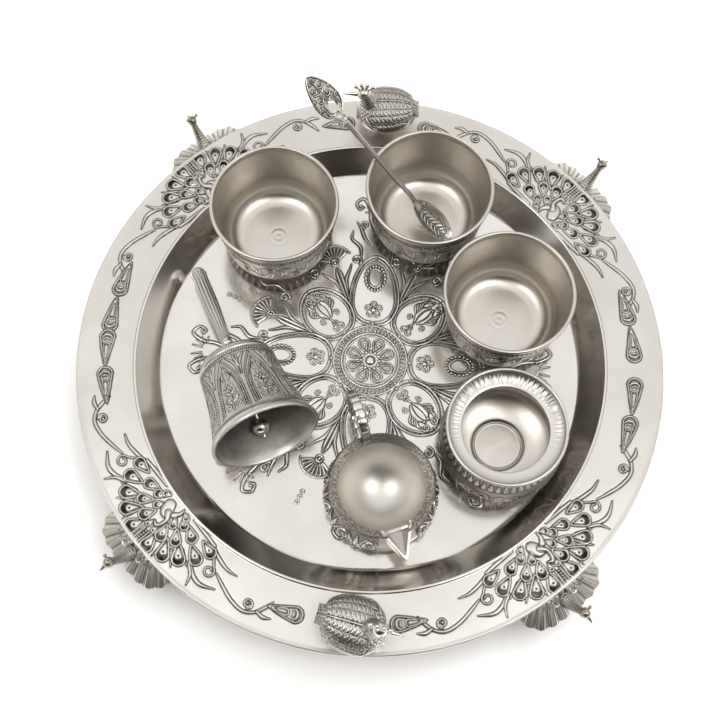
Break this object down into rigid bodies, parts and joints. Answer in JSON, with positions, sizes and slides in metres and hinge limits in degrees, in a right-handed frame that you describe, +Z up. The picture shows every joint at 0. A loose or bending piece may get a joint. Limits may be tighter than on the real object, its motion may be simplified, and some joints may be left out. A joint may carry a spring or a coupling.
{
  "type": "puja thali",
  "caption": "Round silver worship tray on cast bird feet, with bowls, a water pot, an oil lamp, a hand bell and a spoon.",
  "frame": {"origin": "on the tray's axis at table height, where the four soles stand", "axes": "+Z up, +Y towards the side where the back bowl stands, +X to the right of a person facing +Y"},
  "size_m": [0.3429, 0.3431, 0.1168],
  "materials": {
    "silver_satin": "satin silver plating with darkened engraving",
    "silver_antique": "cast and antiqued silver plating",
    "silver_bright": "bright silver plating"
  },
  "bodies": {
    "tray": {"tray_dish": "silver_satin", "foot_back_left": "silver_antique", "foot_back_right": "silver_antique", "foot_front_left": "silver_antique", "foot_front_right": "silver_antique", "figurine_back": "silver_antique", "figurine_front": "silver_antique", "figurine_screw_back": "silver_bright", "figurine_screw_front": "silver_bright"},
    "bowl_left_body": {"bowl_left": "silver_satin"},
    "bowl_back_body": {"bowl_back": "silver_satin"},
    "bowl_right_body": {"bowl_right": "silver_satin"},
    "pot": {"pot_belly": "silver_satin", "pot_mouth": "silver_satin"},
    "lamp": {"lamp_cup": "silver_satin", "lamp_handle": "silver_antique"},
    "bell": {"bell_body": "silver_satin", "bell_handle": "silver_antique", "bell_stud": "silver_bright"},
    "clapper": {"bell_clapper": "silver_bright"},
    "spoon": {"spoon_bowl": "silver_satin", "spoon_stem": "silver_satin", "spoon_finial": "silver_antique"}
  },
  "joints": [
    {"name": "bowl_left_lift", "type": "slide", "parent": "tray", "child": "bowl_left_body", "axis": [0, 0, 1], "range_m": [0, 0.1]},
    {"name": "bowl_back_lift", "type": "slide", "parent": "tray", "child": "bowl_back_body", "axis": [0, 0, 1], "range_m": [0, 0.1]},
    {"name": "bowl_right_lift", "type": "slide", "parent": "tray", "child": "bowl_right_body", "axis": [0, 0, 1], "range_m": [0, 0.1]},
    {"name": "pot_lift", "type": "slide", "parent": "tray", "child": "pot", "axis": [0, 0, 1], "range_m": [0, 0.1]},
    {"name": "lamp_lift", "type": "slide", "parent": "tray", "child": "lamp", "axis": [0, 0, 1], "range_m": [0, 0.1]},
    {"name": "bell_lift", "type": "slide", "parent": "tray", "child": "bell", "axis": [0, 0, 1], "range_m": [0, 0.1]},
    {"name": "spoon_lift", "type": "slide", "parent": "bowl_back_body", "child": "spoon", "axis": [0, 0, 1], "range_m": [0, 0.1]},
    {"name": "clapper_swing", "type": "hinge", "parent": "bell", "child": "clapper", "pos_m": [-0.07484, -0.01868, 0.04837], "axis": [-0.8932, -0.4497, 0], "range_deg": [0, 66.03]}
  ]
}
